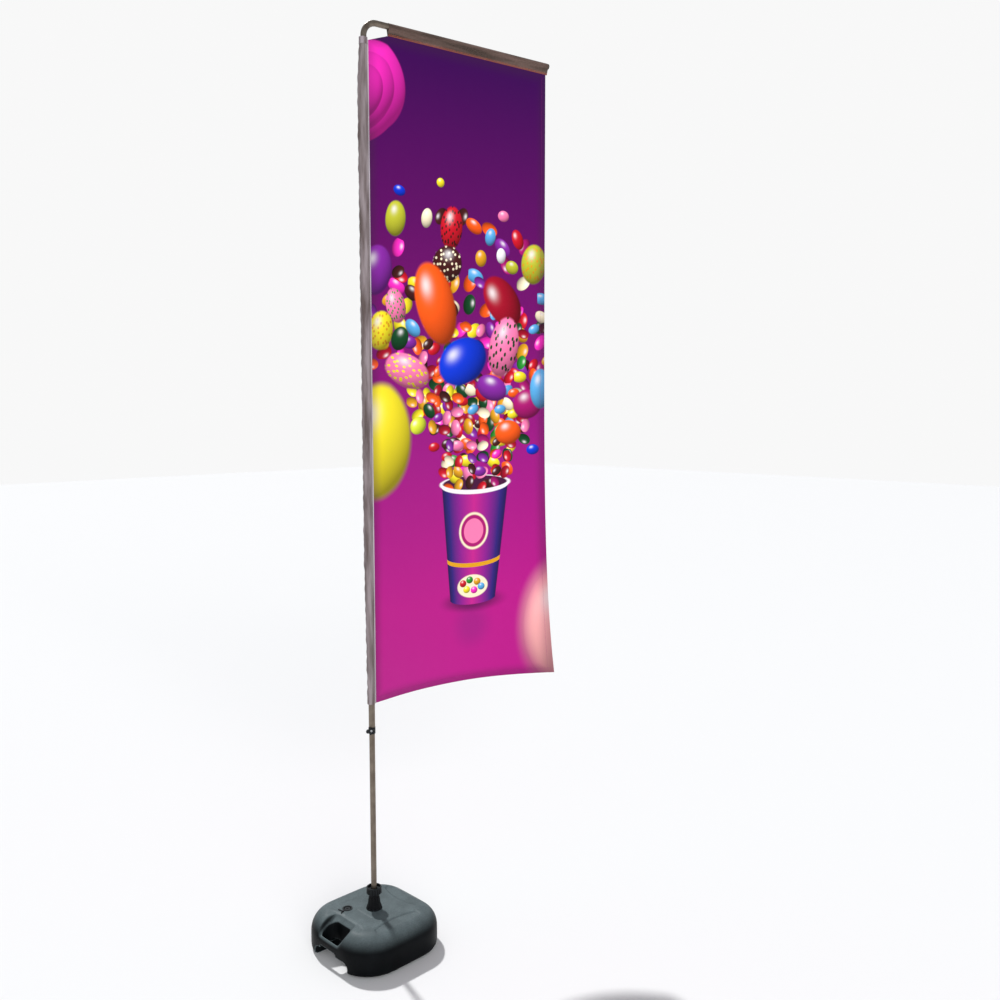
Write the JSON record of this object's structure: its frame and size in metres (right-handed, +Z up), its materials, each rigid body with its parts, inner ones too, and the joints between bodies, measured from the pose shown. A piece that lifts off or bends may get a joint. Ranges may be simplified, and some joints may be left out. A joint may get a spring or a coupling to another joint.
{
  "type": "banner flag with mast and base",
  "caption": "Rectangular banner flag on an L-arm swivel mast, height-adjustable, in a water-filled plastic base with a grip.",
  "frame": {"origin": "pole axis at the underside of the tank, on the floor", "axes": "+Z up along the mast; -X towards the tank's grip; the arm and flag point 10 degrees from +X towards -Y"},
  "size_m": [1.1996, 0.5285, 4.0138],
  "materials": {
    "charcoal_hdpe": "blow-moulded polyethylene, fine grained satin",
    "black_plastic": "moulded black plastic, satin",
    "grey_acetal": "plain moulded acetal",
    "seal_rubber": "soft matt rubber",
    "bronze_aluminium": "drawn tube, anodised brownish grey, satin",
    "zinc_steel": "bright zinc plate",
    "brass": "turned brass",
    "printed_knit": "glossy knitted polyester with a violet to magenta print",
    "sleeve_knit": "thin grey polyester sleeve cloth"
  },
  "bodies": {
    "base": {"tank": "charcoal_hdpe", "socket": "black_plastic", "socket_gasket": "seal_rubber", "collet": "grey_acetal", "fill_seal": "seal_rubber", "cap_tether": "black_plastic"},
    "lock_nut": {"lock_nut": "black_plastic"},
    "fill_cap": {"fill_cap": "black_plastic"},
    "lower_pole": {"lower_pole": "bronze_aluminium", "pole_foot_plug": "black_plastic", "pole_top_bush": "grey_acetal"},
    "collar": {"stop_collar": "black_plastic", "clamp_insert": "brass"},
    "clamp_lever": {"clamp_lever": "black_plastic", "clamp_screw": "zinc_steel"},
    "mast": {"mast_foot_bush": "black_plastic", "mast_tube": "bronze_aluminium", "mast_top_bush": "black_plastic", "arm_tube": "bronze_aluminium", "arm_end_cap": "black_plastic", "snap_clip": "zinc_steel", "mast_sleeve": "sleeve_knit", "sleeve_band": "sleeve_knit", "arm_sleeve": "sleeve_knit", "flag_panel": "printed_knit"},
    "snap_button": {"snap_button": "zinc_steel"}
  },
  "joints": [
    {"name": "lock_nut_turn", "type": "hinge", "parent": "base", "child": "lock_nut", "pos_m": [0, 0, 0.25], "axis": [0, 0, 1], "range_deg": [0, 360]},
    {"name": "fill_cap_turn", "type": "hinge", "parent": "base", "child": "fill_cap", "pos_m": [-0.09, 0.079, 0.165], "axis": [0, 0, 1], "range_deg": [0, 360]},
    {"name": "pole_lift", "type": "slide", "parent": "base", "child": "lower_pole", "axis": [0, 0, 1], "range_m": [0, 0.2]},
    {"name": "height_slide", "type": "slide", "parent": "lower_pole", "child": "collar", "axis": [0, 0, 1], "range_m": [-0.6, 0.15]},
    {"name": "clamp_turn", "type": "hinge", "parent": "collar", "child": "clamp_lever", "pos_m": [0, 0, 0.9925], "axis": [-0.682, -0.7314, 0], "range_deg": [-90, 180]},
    {"name": "mast_swivel", "type": "hinge", "parent": "collar", "child": "mast", "pos_m": [0, 0, 1], "axis": [0, 0, 1], "continuous": true},
    {"name": "snap_press", "type": "slide", "parent": "mast", "child": "snap_button", "axis": [1, 0, 0], "range_m": [0, 0.004], "stiffness_N_per_m": 600, "springref_m": -0.002, "deforming": ["snap_clip"]}
  ]
}
